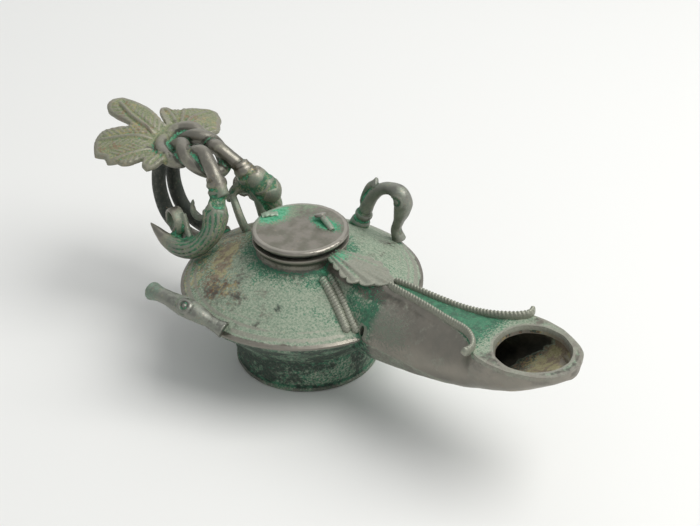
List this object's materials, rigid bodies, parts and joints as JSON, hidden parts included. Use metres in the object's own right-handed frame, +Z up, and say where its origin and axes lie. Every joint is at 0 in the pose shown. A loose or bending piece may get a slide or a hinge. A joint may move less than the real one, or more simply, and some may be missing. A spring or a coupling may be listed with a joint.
{
  "type": "oil lamp",
  "caption": "Cast oil lamp with a closed bowl on a low foot, a long tapering nozzle with a round wick hole, a knotted leaf-topped ring handle, duck-headed side lugs and a lift-off lid.",
  "frame": {"origin": "point on the flat boss under the bowl, where the bowl's axis meets the plane it stands on", "axes": "+X from the bowl's axis towards the nozzle's tip, +Y towards the whole side lug, +Z up"},
  "size_m": [0.2065, 0.0897, 0.0689],
  "materials": {
    "body_bronze": "bronze with a grey-green patina, worn smooth in places",
    "lid_bronze": "bronze worn nearly bare, with mint patina at the rear",
    "handle_bronze": "bronze with an olive patina and malachite in the crevices",
    "lug_bronze": "bronze with a mottled green patina"
  },
  "bodies": {
    "root": {"lamp_body": "body_bronze", "lid": "lid_bronze", "handle": "handle_bronze", "duck_lug_far": "lug_bronze", "duck_lug_near": "lug_bronze"}
  },
  "joints": []
}
